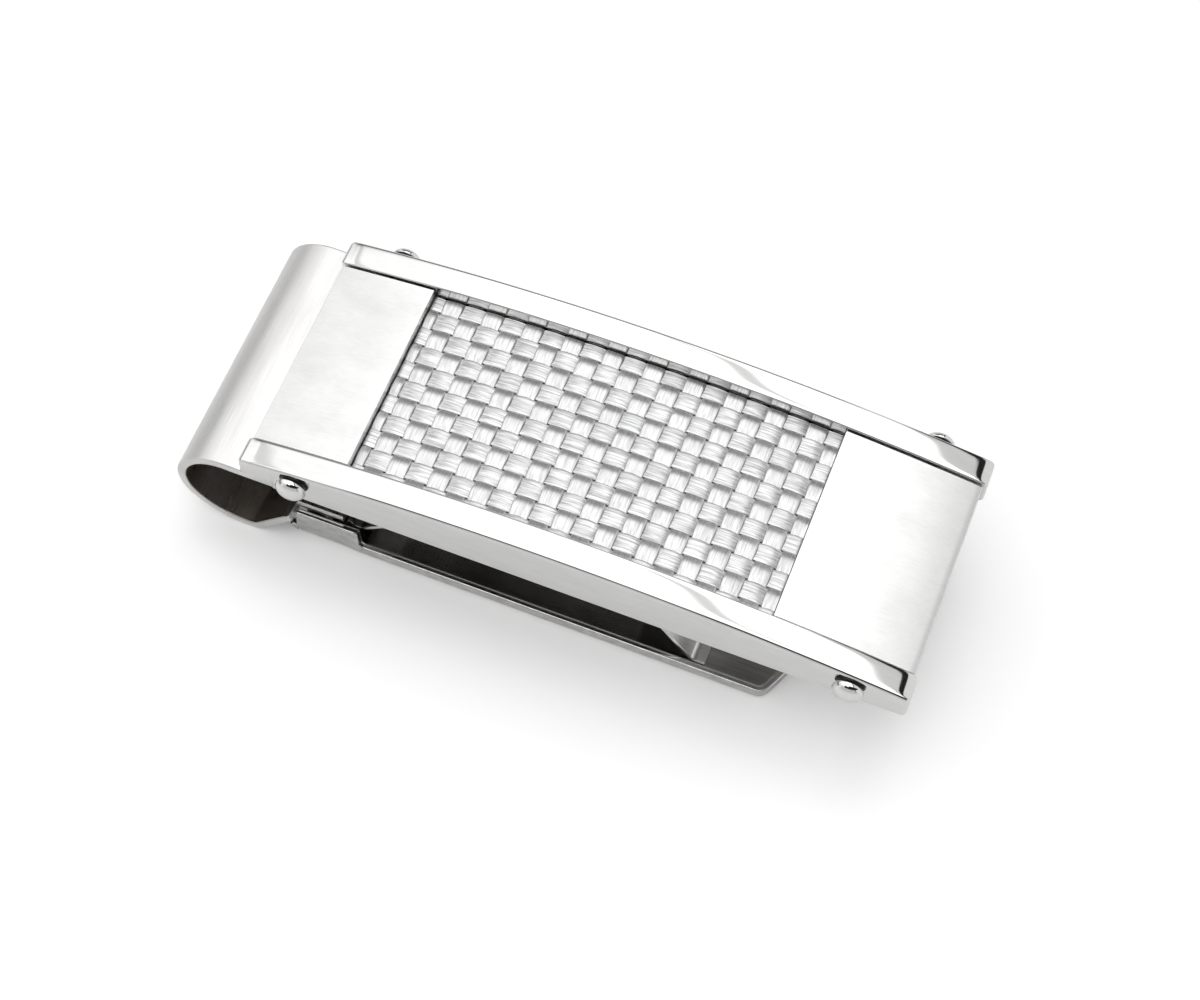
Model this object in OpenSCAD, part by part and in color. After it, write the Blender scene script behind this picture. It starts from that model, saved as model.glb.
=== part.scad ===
// Hinged money clip: an arched plate of two side rails, two end panels and a woven inlay,
// on a bent spring strip that carries a folding arm with a bow spring in it.
// Millimetres. +X runs from the strip's loop to the free end, +Y to the rear rail, +Z up.
// The origin is at the middle of the overall box, on the surface that the clip stands on.

/* [Overall] */
// Length of the side rails
rail_l = 52; // [42:0.5:64]
// Width over the outer faces of the two rails
clip_w = 21; // [16:0.5:28]
// How far the strip's loop reaches past the rails
loop_reach = 5.55; // [4:0.05:8]
// Height of the rails' undersides above the surface below
stand_h = 8; // [6.6:0.1:10]

/* [Rails] */
// Thickness of each rail, across the clip
rail_w = 2.2; // [1.6:0.1:3.2]
// Rail height at mid length
rail_mid_h = 4.6; // [3.8:0.1:6]
// Rail height at its ends
rail_end_h = 2.6; // [2.2:0.1:3.4]

/* [Panels and inlay] */
// Length of the panel at the loop end
left_panel_l = 7.6; // [5:0.1:12]
// Length of the panel at the free end
right_panel_l = 10.8; // [7:0.1:14]
// Setback of the panels from the rails' ends
panel_inset = 0.3; // [0.1:0.05:1]
// Drop of the panels' tops below the rails' arch
panel_drop = 0.3; // [0.1:0.05:0.8]
// Drop of the inlay's top below the rails' arch
inlay_drop = 1.1; // [0.8:0.05:1.4]
// Thickness of the woven inlay
inlay_t = 0.45; // [0.3:0.05:0.6]
// Thickness of the base plate under the panels
base_t = 0.4; // [0.3:0.05:0.5]
// Gap between the rails and what lies between them
side_gap = 0.12; // [0.05:0.01:0.2]
// Gap at each end of the inlay
inlay_gap = 0.1; // [0.05:0.01:0.3]

/* [Studs] */
// Radius of the ball that a stud's domed head is cut from
ball_r = 1.21; // [1.1:0.01:1.35]
// Height of a stud's domed head above the rail's outer face
dome_h = 1.05; // [0.8:0.01:1.1]
// Radius of a stud's shank
shank_r = 0.4; // [0.3:0.05:0.5]
// Length of shank in the end panel
shank_grip = 2.4; // [1.5:0.1:4]
// Distance of a stud from its rail's end
stud_inset = 4.4; // [3.8:0.1:6]
// Height of a stud above the rails' undersides
stud_h = 1.7; // [1.65:0.05:2.1]

/* [Spring strip] */
// Setback of the strip's edges from the rails' outer faces
strip_inset = 0.1; // [0:0.05:1]
// Thickness of the strip
strip_t = 0.75; // [0.5:0.05:0.9]
// Radius of the loop's lower half over that of its upper half
loop_ratio = 1.67; // [1.2:0.01:2.2]
// Angle round the loop at which the upper radius gives way to the lower one
loop_turn = 225; // [205:5:240]
// Inside radius of the bend at the strip's lowest point
heel_r = 0.9; // [0.6:0.1:1.5]
// Slope of the ramp up to the hinge
ramp_angle = 48; // [38:1:60]
// Inside radius of the bend from the ramp into the tongue
knee_r = 0.5; // [0.3:0.05:0.8]
// Height of the tongue's top
tongue_h = 3.95; // [3.6:0.05:4.6]
// Length of the tongue, from the end of its bend
tongue_l = 3.5; // [3:0.1:6]
// Length of the strip's full width under the rails
notch_l = 2.7; // [2:0.1:3.2]
// Reach of the welded tab along the base plate, from the rails' ends
tab_l = 12; // [6:0.5:16]

/* [Hinge] */
// Distance of the pin from the start of the tongue
pin_back = 1.3; // [1:0.1:1.6]
// Height of the pin's axis
pin_h = 1.55; // [1.5:0.05:1.7]
// Radius of the hinge pin
pin_r = 0.45; // [0.3:0.05:0.5]
// Radius of the strip's lugs round the pin
lug_r = 0.85; // [0.75:0.05:0.9]
// Thickness of the lugs
lug_t = 0.65; // [0.4:0.05:0.8]
// Running clearance between the pin and the lugs' bores
pin_play = 0.05; // [0.01:0.01:0.1]
// Fit of the pin and the studs in the holes that hold them
press_play = 0.01; // [0.01:0.01:0.03]

/* [Arm] */
// Setback of the arm's sides from the rails' outer faces
arm_inset = 1; // [0.5:0.05:2]
// Sheet thickness of the arm
arm_t = 0.5; // [0.4:0.05:0.6]
// Height of the arm's rim
rim_h = 1.3; // [1.1:0.05:1.6]
// Distance of the arm's tip from the pin
arm_reach = 38.7; // [30:0.1:48]
// Radius of the arm's curved tip, in plan
tip_r = 20; // [16:0.5:30]
// Radius of the arm's corners, in plan
corner_r = 1.1; // [0.7:0.1:2]
// Height of the ears that hold the pin
ear_h = 3.2; // [2.8:0.05:3.6]
// Length of the ears from the pin towards the tip
ear_front = 3.6; // [3:0.1:5]
// Radius of the ears' lower back corner, round the pin
ear_back_r = 2.1; // [1.8:0.05:2.15]
// Height at which the ears' round corner begins
ear_foot_h = 1.25; // [1:0.05:1.5]
// Gap between the tongue and the ears, on each side
ear_gap = 0.1; // [0.05:0.01:0.2]

/* [Bow spring] */
// Thickness of the bow spring
leaf_t = 0.3; // [0.2:0.05:0.4]
// Gap between the bow spring's edges and the arm's rim
leaf_side_gap = 0.4; // [0.2:0.05:0.8]
// Gap between the bow spring and what it lies against
leaf_gap = 0.15; // [0.1:0.01:0.3]
// Height of the bow spring's lowest point at the hinge
leaf_low_h = 2.4; // [2.2:0.05:2.8]
// Slope at which the bow spring leaves the hinge
leaf_rise = 37; // [25:1:45]
// Length of that straight rise
leaf_rise_l = 2.4; // [1:0.1:4]
// Slope at which the bow spring comes down to the arm
leaf_fall = 54; // [40:1:65]
// Distance of the bow spring's toe from the arm's tip
toe_back = 7.3; // [5:0.1:12]
// Length of the toe on the arm's floor
toe_l = 0.7; // [0.4:0.1:2]
// Inside radius of the bow spring's bends
leaf_bend_r = 0.6; // [0.4:0.05:1]

/* [Hidden] */
round_fn = 64; // segments of a full round
reach = 200;   // longer than any cut needs to be
skin = 0.5;    // how far a cut runs past the face it opens
arch_fn = 360; // segments of the long, flat curves

// Plate
left_x = -(rail_l + loop_reach) / 2;      // outermost point of the loop
rail_x0 = left_x + loop_reach;            // rails' end at the loop
rail_x1 = rail_x0 + rail_l;               // rails' free end
rail_mid_x = (rail_x0 + rail_x1) / 2;
sag = rail_mid_h - rail_end_h;
arch_r = (pow(rail_l / 2, 2) + sag * sag) / (2 * sag);
inner_w = clip_w - 2 * rail_w;            // clear width between the rails
between_w = inner_w - 2 * side_gap;
base_z = stand_h + strip_t;               // the strip's tab lies under the base plate
block_z = base_z + base_t;
panel_x0 = rail_x0 + panel_inset;
panel_x1 = rail_x1 - panel_inset;
inlay_x0 = panel_x0 + left_panel_l;
inlay_x1 = panel_x1 - right_panel_l;
stud_x0 = rail_x0 + stud_inset;
stud_x1 = rail_x1 - stud_inset;
stud_z = stand_h + stud_h;
rail_bore_play = 0.05;                    // clearance round a stud in the rail
bore_spare = 0.1;                         // depth of a panel's bore past the stud's end
rail_seat = 0.03;                         // gap over the strip in the rails' notch

// Strip: its outline is the inner side of the loop, and the outer side strip_t away from it
strip_w = clip_w - 2 * strip_inset;
turn_s = -sin(loop_turn);
loop_in_h = stand_h - strip_t;            // inside height of the loop
loop_r = loop_in_h / (1 + turn_s + loop_ratio * (1 - turn_s));
low_r = loop_ratio * loop_r;
loop_c = [left_x + strip_t + loop_r, stand_h - loop_r];
low_c = loop_c - (low_r - loop_r) * [cos(loop_turn), sin(loop_turn)];
heel_c = [low_c[0], strip_t + heel_r];
bend_drop = (heel_r + knee_r + strip_t) * (1 - cos(ramp_angle));
ramp_l = (tongue_h - strip_t - bend_drop) / sin(ramp_angle);
tongue_x = heel_c[0] + (heel_r + knee_r + strip_t) * sin(ramp_angle) + ramp_l * cos(ramp_angle);
knee_c = [tongue_x, tongue_h - strip_t - knee_r];
tongue_end = tongue_x + tongue_l;
shoulder_back = 0.4;                      // full width ends this far before the tongue
shoulder_x = tongue_x - shoulder_back;    // where the strip narrows to pass between the ears

// Hinge and arm
arm_w = clip_w - 2 * arm_inset;
pin_x = tongue_x + pin_back;
ear_in = arm_w / 2 - arm_t;               // inner face of an ear
tongue_w = 2 * (ear_in - ear_gap);
shoulder_gap = 0.2;                       // between the strip's shoulder and the ears
ear_x0 = shoulder_x + shoulder_gap;
ear_x1 = pin_x + ear_front;
floor_back = 1.4;                         // the arm's floor starts this far behind the pin
floor_x0 = pin_x - floor_back;
tip_x = pin_x + arm_reach;

// Bow spring
leaf_w = 2 * (ear_in - leaf_side_gap);
leaf_top = stand_h - leaf_gap;            // top of the bow, just under the rails
toe_gap = 0.04;                           // the toe moves clear of the arm's floor
leaf_foot = arm_t + toe_gap;              // underside of the toe
leaf_x0 = tongue_end + leaf_gap + leaf_bend_r + leaf_t;
toe_end = tip_x - toe_back;
lip_angle = 190;                          // direction in which the lip at the hinge ends

// Points along an arc in a plane, from angle a to angle b
function arc(c, r, a, b, n = 8) = [for (i = [0:n]) c + r * [cos(a + (b - a) * i / n), sin(a + (b - a) * i / n)]];
function flip(list) = [for (i = [len(list) - 1:-1:0]) list[i]];

// A profile in X and Z, made w wide and centred on Y
module across(w) {
    rotate([90, 0, 0]) linear_extrude(height = w, center = true) children();
}

// A round bar along Y through x, z, from y0 to y1
module bar_y(x, z, y0, y1, r) {
    translate([x, y0, z]) rotate([-90, 0, 0]) cylinder(r = r, h = y1 - y0, $fn = round_fn);
}

// The space under the rails' arch, lowered by drop
module under_arch(drop) {
    translate([rail_mid_x, 0, stand_h + rail_mid_h - drop - arch_r]) rotate([90, 0, 0])
        cylinder(r = arch_r, h = reach, center = true, $fn = arch_fn);
}

// A block between the rails, from x0 to x1 and from z0 up to the arch lowered by drop
module arched_block(x0, x1, z0, drop) {
    intersection() {
        translate([x0, -between_w / 2, z0]) cube([x1 - x0, between_w, rail_mid_h]);
        under_arch(drop);
    }
}

module rail(side) {
    difference() {
        intersection() {
            translate([rail_x0, side > 0 ? inner_w / 2 : -clip_w / 2, stand_h]) cube([rail_l, rail_w, rail_mid_h]);
            under_arch(0);
        }
        // The strip passes under the rail at the loop end
        translate([rail_x0 - skin, -reach / 2, stand_h - skin])
            cube([notch_l + skin, reach, skin + strip_t + rail_seat]);
        for (x = [stud_x0, stud_x1]) bar_y(x, stud_z, -reach / 2, reach / 2, shank_r + rail_bore_play);
    }
}

module end_panel(x0, x1, stud_x) {
    difference() {
        arched_block(x0, x1, block_z, panel_drop);
        for (side = [-1, 1])
            bar_y(stud_x, stud_z, side > 0 ? between_w / 2 - shank_grip - bore_spare : -reach / 2,
                side > 0 ? reach / 2 : -between_w / 2 + shank_grip + bore_spare, shank_r + press_play);
    }
}

module stud(x, side) {
    face = side * clip_w / 2;
    tip = side * (between_w / 2 - shank_grip);
    ball_y = face + side * (dome_h - ball_r);
    shank_end = face + side * dome_h / 2;
    bar_y(x, stud_z, min(tip, shank_end), max(tip, shank_end), shank_r);
    // The dome is the part of a ball that stands out of the rail
    intersection() {
        translate([x, ball_y, stud_z]) sphere(r = ball_r, $fn = round_fn);
        translate([x - ball_r, side > 0 ? face : face - 2 * ball_r, stud_z - ball_r]) cube(2 * ball_r);
    }
}

// Outline of the strip, from the end of the tab round the loop to the end of the tongue
function strip_side(s) = concat(
    [[rail_x0 + tab_l, stand_h + s]],
    arc(loop_c, loop_r + s, 90, loop_turn, 24),
    arc(low_c, low_r + s, loop_turn, 270, 10),
    arc(heel_c, heel_r + s, 270, 270 + ramp_angle, 8),
    arc(knee_c, knee_r + strip_t - s, 90 + ramp_angle, 90, 8),
    [[tongue_end, tongue_h - s]]);

module loop_strip() {
    color("gainsboro") difference() {
        union() {
            difference() {
                across(strip_w) polygon(concat(strip_side(0), flip(strip_side(strip_t))));
                for (side = [-1, 1]) {
                    // The tab goes on between the rails
                    translate([rail_x0 + notch_l - rail_seat, side > 0 ? between_w / 2 : -reach / 2, stand_h - skin])
                        cube([reach, reach / 2 - between_w / 2, reach]);
                    // The tongue goes on between the ears
                    translate([shoulder_x, side > 0 ? tongue_w / 2 : -reach / 2, -skin])
                        cube([reach, reach / 2 - tongue_w / 2, stand_h - 2 * skin]);
                }
            }
            // Two lugs, folded down from the tongue round the pin
            for (side = [-1, 1]) translate([0, side * (tongue_w - lug_t) / 2, 0]) across(lug_t) union() {
                translate([pin_x, pin_h]) circle(r = lug_r, $fn = round_fn);
                translate([pin_x - lug_r, pin_h]) square([2 * lug_r, tongue_h - strip_t / 2 - pin_h]);
            }
        }
        bar_y(pin_x, pin_h, -reach / 2, reach / 2, pin_r + pin_play);
    }
}

module base_plate() {
    color("silver") translate([panel_x0, -between_w / 2, base_z]) cube([panel_x1 - panel_x0, between_w, base_t]);
}

module inlay_carrier() {
    color("dimgray") arched_block(inlay_x0 + inlay_gap, inlay_x1 - inlay_gap, block_z, inlay_drop + inlay_t);
}

module weave_inlay() {
    color("whitesmoke") difference() {
        arched_block(inlay_x0 + inlay_gap, inlay_x1 - inlay_gap, block_z, inlay_drop);
        under_arch(inlay_drop + inlay_t);
    }
}

// Plan of the arm, inset from its outer edge: straight sides, round corners and a curved tip
module arm_plan(inset) {
    half = arm_w / 2;
    tip_c = tip_x - tip_r;
    corner_x = tip_c + sqrt(pow(tip_r - corner_r, 2) - pow(half - corner_r, 2));
    translate([floor_x0, -half + inset]) square([corner_x - floor_x0, arm_w - 2 * inset]);
    for (side = [-1, 1]) translate([corner_x, side * (half - corner_r)]) circle(r = corner_r - inset, $fn = round_fn);
    intersection() {
        translate([tip_c, 0]) circle(r = tip_r - inset, $fn = arch_fn);
        polygon([[tip_c, 0], [tip_c, 0] + 2 * [corner_x - tip_c, half - corner_r],
            [tip_c, 0] + 2 * [corner_x - tip_c, corner_r - half]]);
    }
}

// An ear's profile: square at the top, with a lower back corner that is round about the pin
module ear_profile() {
    translate([ear_x0, ear_foot_h]) square([ear_x1 - ear_x0, ear_h - ear_foot_h]);
    translate([floor_x0, 0]) square([ear_x1 - floor_x0, ear_foot_h]);
    intersection() {
        translate([pin_x, pin_h]) circle(r = ear_back_r, $fn = round_fn);
        translate([pin_x - ear_back_r, arm_t / 2]) square([ear_back_r, ear_foot_h - arm_t / 2]);
    }
}

module clip_arm() {
    color("lightgray") difference() {
        union() {
            difference() {
                linear_extrude(height = rim_h) arm_plan(0);
                translate([0, 0, arm_t]) linear_extrude(height = rim_h) arm_plan(arm_t);
                // The floor runs out at the back, with no rim across it
                translate([floor_x0 - skin, -ear_in, arm_t]) cube([2 * skin, 2 * ear_in, rim_h]);
            }
            for (side = [-1, 1]) translate([0, side * (arm_w - arm_t) / 2, 0]) across(arm_t) ear_profile();
        }
        bar_y(pin_x, pin_h, -reach / 2, reach / 2, pin_r + press_play);
    }
}

module hinge_pin() {
    color("darkgray") bar_y(pin_x, pin_h, -arm_w / 2, arm_w / 2, pin_r);
}

// Outline of the bow spring: a lip at the tongue, a straight rise, a long bow, a steep fall and a toe
rise_end = [leaf_x0 + leaf_bend_r * sin(leaf_rise) + leaf_rise_l * cos(leaf_rise),
    leaf_low_h + leaf_bend_r * (1 - cos(leaf_rise)) + leaf_rise_l * sin(leaf_rise)];
bow_r = (leaf_top - leaf_t - rise_end[1]) / (1 - cos(leaf_rise)) - leaf_bend_r;
bow_x = rise_end[0] + bow_r * sin(leaf_rise);
fall_l = (leaf_top - leaf_foot - (2 * leaf_bend_r + 2 * leaf_t) * (1 - cos(leaf_fall))) / sin(leaf_fall);
brow_x = toe_end - toe_l - (2 * leaf_bend_r + leaf_t) * sin(leaf_fall) - fall_l * cos(leaf_fall);

// The side of the leaf that is s above its underside
function leaf_side(s) = concat(
    arc([leaf_x0, leaf_low_h + leaf_bend_r + leaf_t], leaf_bend_r + leaf_t - s, lip_angle, 270 + leaf_rise, 10),
    arc([bow_x, leaf_top - leaf_t - bow_r], bow_r + s, 90 + leaf_rise, 90, 16),
    arc([brow_x, leaf_top - leaf_t - leaf_bend_r], leaf_bend_r + s, 90, 90 - leaf_fall, 6),
    arc([toe_end - toe_l, leaf_foot + leaf_bend_r + leaf_t], leaf_bend_r + leaf_t - s, 270 - leaf_fall, 270, 6),
    [[toe_end, leaf_foot + s]]);

module leaf_spring() {
    color("lightsteelblue") across(leaf_w) polygon(concat(leaf_side(0), flip(leaf_side(leaf_t))));
}

loop_strip();
base_plate();
color("white") rail(-1);  // rail_front
color("white") rail(1);  // rail_rear
color("whitesmoke") end_panel(panel_x0, inlay_x0, stud_x0);  // end_panel_left
color("whitesmoke") end_panel(inlay_x1, panel_x1, stud_x1);  // end_panel_right
inlay_carrier();
weave_inlay();
color("gray") stud(stud_x0, -1);  // stud_front_left
color("gray") stud(stud_x1, -1);  // stud_front_right
color("gray") stud(stud_x0, 1);  // stud_rear_left
color("gray") stud(stud_x1, 1);  // stud_rear_right
clip_arm();
hinge_pin();
leaf_spring();
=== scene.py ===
import math
import random
import bpy
import bmesh
from mathutils import Matrix, Vector


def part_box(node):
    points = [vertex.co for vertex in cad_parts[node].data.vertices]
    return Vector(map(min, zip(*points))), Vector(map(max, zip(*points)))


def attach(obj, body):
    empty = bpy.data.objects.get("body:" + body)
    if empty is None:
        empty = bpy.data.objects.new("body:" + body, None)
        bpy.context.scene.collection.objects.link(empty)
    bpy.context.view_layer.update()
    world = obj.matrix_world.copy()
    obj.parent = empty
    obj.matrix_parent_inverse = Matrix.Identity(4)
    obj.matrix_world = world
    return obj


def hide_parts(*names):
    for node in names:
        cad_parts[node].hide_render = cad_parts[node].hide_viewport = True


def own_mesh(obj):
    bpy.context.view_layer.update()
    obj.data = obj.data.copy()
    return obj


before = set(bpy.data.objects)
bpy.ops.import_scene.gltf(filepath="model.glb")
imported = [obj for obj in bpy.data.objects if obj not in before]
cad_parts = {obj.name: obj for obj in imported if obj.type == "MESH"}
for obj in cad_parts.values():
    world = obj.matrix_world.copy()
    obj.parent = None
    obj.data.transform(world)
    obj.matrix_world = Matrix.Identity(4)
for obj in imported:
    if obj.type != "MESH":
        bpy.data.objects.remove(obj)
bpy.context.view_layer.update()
mm = 0.001  # every size below is in millimetres


# shared helpers

def boxOf(node):
    low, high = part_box(node)
    return low / mm, high / mm


def arcPoints(cx, cz, radius, fromDeg, toDeg, steps, flip=1):
    # points of a bend with their thickness direction: outward, or inward with flip -1
    points = []
    for i in range(steps + 1):
        a = math.radians(fromDeg + (toDeg - fromDeg) * i / steps)
        cosA, sinA = math.cos(a), math.sin(a)
        points.append((cx + radius * cosA, cz + radius * sinA, flip * cosA, flip * sinA))
    return points


def makePiece(name, verts, faces, body, materials, replaced, faceSlots=None):
    # one smooth mesh, sized in millimetres, that stands for the CAD node replaced
    mesh = bpy.data.meshes.new(name)
    mesh.from_pydata([Vector(v) * mm for v in verts], [], faces)
    for mat in materials:
        mesh.materials.append(mat)
    if faceSlots:
        for polygon, index in zip(mesh.polygons, faceSlots):
            polygon.material_index = index
    work = bmesh.new()
    work.from_mesh(mesh)
    bmesh.ops.recalc_face_normals(work, faces=work.faces)
    for face in work.faces:
        face.smooth = True
    work.to_mesh(mesh)
    work.free()
    piece = bpy.data.objects.new(name, mesh)
    bpy.context.scene.collection.objects.link(piece)
    bpy.context.view_layer.objects.active = piece
    weighted = piece.modifiers.new("evenFaces", "WEIGHTED_NORMAL")
    weighted.weight = 80
    weighted.keep_sharp = True
    bpy.ops.object.modifier_apply(modifier="evenFaces")
    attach(piece, body)
    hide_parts(replaced)
    return piece


def ringFaces(ringCount, size, start=0):
    # walls between closed rings of points, and a cap on each end
    faces = []
    for i in range(ringCount - 1):
        for j in range(size):
            a = start + i * size + j
            b = start + i * size + (j + 1) % size
            faces.append((a, b, b + size, a + size))
    tail = start + (ringCount - 1) * size
    faces.append(tuple(range(start, start + size)))
    faces.append(tuple(range(tail, tail + size)))
    return faces


def cornerArc(cy, cz, radius, fromDeg, toDeg, steps):
    return [(y, z) for y, z, _, _ in arcPoints(cy, cz, radius, fromDeg, toDeg, steps)]


# materials

def newMaterial(name):
    mat = bpy.data.materials.new(name)
    mat.use_nodes = True
    tree = mat.node_tree
    shader = tree.nodes["Principled BSDF"]
    return mat, tree, shader


def scaledNoise(tree, perMm, detail=2.0, rough=0.5):
    # noise whose grain is set per millimetre along X, Y and Z
    coords = tree.nodes.new("ShaderNodeTexCoord")
    mapping = tree.nodes.new("ShaderNodeMapping")
    mapping.inputs["Scale"].default_value = [s / mm for s in perMm]
    noise = tree.nodes.new("ShaderNodeTexNoise")
    noise.inputs["Scale"].default_value = 1.0
    noise.inputs["Detail"].default_value = detail
    noise.inputs["Roughness"].default_value = rough
    tree.links.new(coords.outputs["Object"], mapping.inputs["Vector"])
    tree.links.new(mapping.outputs["Vector"], noise.inputs["Vector"])
    return noise.outputs["Fac"]


def spread(tree, value, low, high, fromLow=0.3, fromHigh=0.7):
    node = tree.nodes.new("ShaderNodeMapRange")
    node.inputs["From Min"].default_value = fromLow
    node.inputs["From Max"].default_value = fromHigh
    node.inputs["To Min"].default_value = low
    node.inputs["To Max"].default_value = high
    tree.links.new(value, node.inputs["Value"])
    return node.outputs["Result"]


def blendColours(tree, factor, first, second):
    node = tree.nodes.new("ShaderNodeMix")
    node.data_type = "RGBA"
    node.inputs["A"].default_value = (*first, 1)
    node.inputs["B"].default_value = (*second, 1)
    tree.links.new(factor, node.inputs["Factor"])
    return node.outputs["Result"]


def addBump(tree, shader, height, heightMm):
    bump = tree.nodes.new("ShaderNodeBump")
    bump.inputs["Strength"].default_value = 1.0
    bump.inputs["Distance"].default_value = heightMm * mm
    tree.links.new(height, bump.inputs["Height"])
    tree.links.new(bump.outputs["Normal"], shader.inputs["Normal"])


def brushAlong(tree, shader, axis, amount):
    # stretches highlights across brush lines or strands that run along axis
    line = tree.nodes.new("ShaderNodeVectorTransform")
    line.vector_type = "VECTOR"
    line.convert_from = "OBJECT"
    line.convert_to = "WORLD"
    line.inputs["Vector"].default_value = axis
    surface = tree.nodes.new("ShaderNodeNewGeometry")
    across = tree.nodes.new("ShaderNodeVectorMath")
    across.operation = "CROSS_PRODUCT"
    tree.links.new(surface.outputs["Normal"], across.inputs[0])
    tree.links.new(line.outputs["Vector"], across.inputs[1])
    tree.links.new(across.outputs["Vector"], shader.inputs["Tangent"])
    shader.inputs["Anisotropic"].default_value = amount


finishes = {
    # light and dark are the tints, rough the range of roughness, grain the streaks per millimetre on
    # each axis, patches the broad clouds per millimetre, brush the axis that the brush lines follow
    "mirrorSteel": {"light": (0.73, 0.73, 0.72), "dark": (0.68, 0.68, 0.67), "rough": (0.03, 0.06),
                    "grain": (0.4, 1.5, 1.5)},
    "brushedLong": {"light": (0.92, 0.92, 0.91), "dark": (0.79, 0.79, 0.785), "rough": (0.27, 0.34),
                    "grain": (0.3, 11, 11), "patches": (0.3, 0.45, 0.45), "brush": (1, 0, 0)},
    "brushedAcross": {"light": (0.76, 0.755, 0.745), "dark": (0.62, 0.615, 0.605), "rough": (0.24, 0.36),
                      "grain": (12, 0.2, 12), "bumpMm": 0.0006, "patches": (0.5, 0.12, 0.5),
                      "brush": (0, 1, 0)},
    # shadedInside: darker, brownish tint that paints the shade inside the spring's loop
    "shadedInside": {"light": (0.56, 0.52, 0.47), "dark": (0.34, 0.31, 0.28), "rough": (0.22, 0.4),
                  "grain": (6, 0.3, 6), "bumpMm": 0.0006, "patches": (0.6, 0.6, 0.6)},
    "tumbledSteel": {"light": (0.70, 0.70, 0.69), "dark": (0.48, 0.475, 0.465), "rough": (0.08, 0.24),
                     "grain": (1.0, 1.6, 1.6), "bumpMm": 0.001, "detail": 4.0},
    # shadedTrayFloor: darker tint that paints the shade on the tray's inside floor and wall
    "shadedTrayFloor": {"light": (0.54, 0.53, 0.515), "dark": (0.36, 0.35, 0.34), "rough": (0.06, 0.16),
                  "grain": (0.2, 5, 5), "bumpMm": 0.0004},
    "springSteel": {"light": (0.74, 0.735, 0.72), "dark": (0.60, 0.595, 0.58), "rough": (0.14, 0.26),
                    "grain": (0.3, 7, 7), "bumpMm": 0.0006},
    "headSteel": {"light": (0.76, 0.76, 0.75), "dark": (0.70, 0.70, 0.69), "rough": (0.04, 0.09),
                  "grain": (1.2, 1.2, 1.2)},
    # neckShadow: near black, painted shadow in the gap under each stud's head
    "neckShadow": {"light": (0.06, 0.06, 0.06), "dark": (0.02, 0.02, 0.02), "rough": (0.35, 0.5),
                  "grain": (2, 2, 2)},
}
brushStretch = 0.85  # how far brush lines draw a highlight out


def metalFinish(name, light, dark, rough, grain, bumpMm=0.0, detail=3.0, patches=None, brush=None):
    mat, tree, shader = newMaterial(name)
    shader.inputs["Metallic"].default_value = 1.0
    streaks = scaledNoise(tree, grain, detail, 0.6)
    tint = streaks
    if patches:
        # half streaks, half clouds
        half = tree.nodes.new("ShaderNodeMath")
        half.operation = "MULTIPLY"
        half.inputs[1].default_value = 0.5
        tree.links.new(scaledNoise(tree, patches), half.inputs[0])
        mixer = tree.nodes.new("ShaderNodeMath")
        mixer.operation = "MULTIPLY_ADD"
        mixer.inputs[1].default_value = 0.5
        tree.links.new(streaks, mixer.inputs[0])
        tree.links.new(half.outputs[0], mixer.inputs[2])
        tint = mixer.outputs[0]
    tree.links.new(blendColours(tree, spread(tree, tint, 0, 1), light, dark), shader.inputs["Base Color"])
    tree.links.new(spread(tree, tint, *rough), shader.inputs["Roughness"])
    if bumpMm:
        addBump(tree, shader, streaks, bumpMm)
    if brush:
        brushAlong(tree, shader, brush, brushStretch)
    return mat


print("making the finishes")
steel = {name: metalFinish(name, **look) for name, look in finishes.items()}


# one glass cloth in two tints: the long tows' darker dull tint is painted shade and the cross tows' paler
# one painted sheen, for how the strands reflect light along and across them
tows = {
    "shadedLongTow": {"bright": 0.85, "dull": (0.39, 0.39, 0.40), "grain": (0.35, 9, 4), "along": (1, 0, 0)},
    "litCrossTow": {"bright": 0.80, "dull": (0.53, 0.53, 0.54), "grain": (9, 0.35, 4), "along": (0, 1, 0)},
}
towGloss = {"rough": 0.28, "duller": 0.12, "metallic": 0.9, "stretch": 0.8, "bumpMm": 0.012}


def towFinish(name, bright, dull, grain, along):
    # glass strands: fine lengthwise streaks that vary in brightness and stand up a little
    mat, tree, shader = newMaterial(name)
    fine = scaledNoise(tree, grain, 3.0, 0.65)
    tint = blendColours(tree, spread(tree, fine, 0, 1, 0.32, 0.66), dull, (bright, bright, bright))
    tree.links.new(tint, shader.inputs["Base Color"])
    dullest = towGloss["rough"] + towGloss["duller"]
    tree.links.new(spread(tree, fine, dullest, towGloss["rough"]), shader.inputs["Roughness"])
    shader.inputs["Metallic"].default_value = towGloss["metallic"]
    brushAlong(tree, shader, along, towGloss["stretch"])
    addBump(tree, shader, fine, towGloss["bumpMm"])
    return mat


shadedLongTow = towFinish("shadedLongTow", **tows["shadedLongTow"])
litCrossTow = towFinish("litCrossTow", **tows["litCrossTow"])

carrierBoard, carrierTree, carrierShader = newMaterial("carrierBoard")
carrierSpeckle = scaledNoise(carrierTree, (5, 5, 5), 3.0)
carrierTree.links.new(blendColours(carrierTree, carrierSpeckle, (0.05, 0.05, 0.05), (0.10, 0.10, 0.10)),
                      carrierShader.inputs["Base Color"])
carrierShader.inputs["Roughness"].default_value = 0.8


# the arch that the plate follows

railLow, railHigh = boxOf("rail_front")
rearLow, rearHigh = boxOf("rail_rear")
archShape = {"endHeight": 2.6}  # height of the rails at their ends, above their undersides
railHalf = (railHigh.x - railLow.x) / 2
railMid = (railHigh.x + railLow.x) / 2
archSag = railHigh.z - railLow.z - archShape["endHeight"]
archRadius = (railHalf ** 2 + archSag ** 2) / (2 * archSag)


def archTop(x, drop=0.0):
    r = archRadius - drop
    return railHigh.z - archRadius + math.sqrt(r * r - (x - railMid) ** 2)


# side rails

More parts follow.
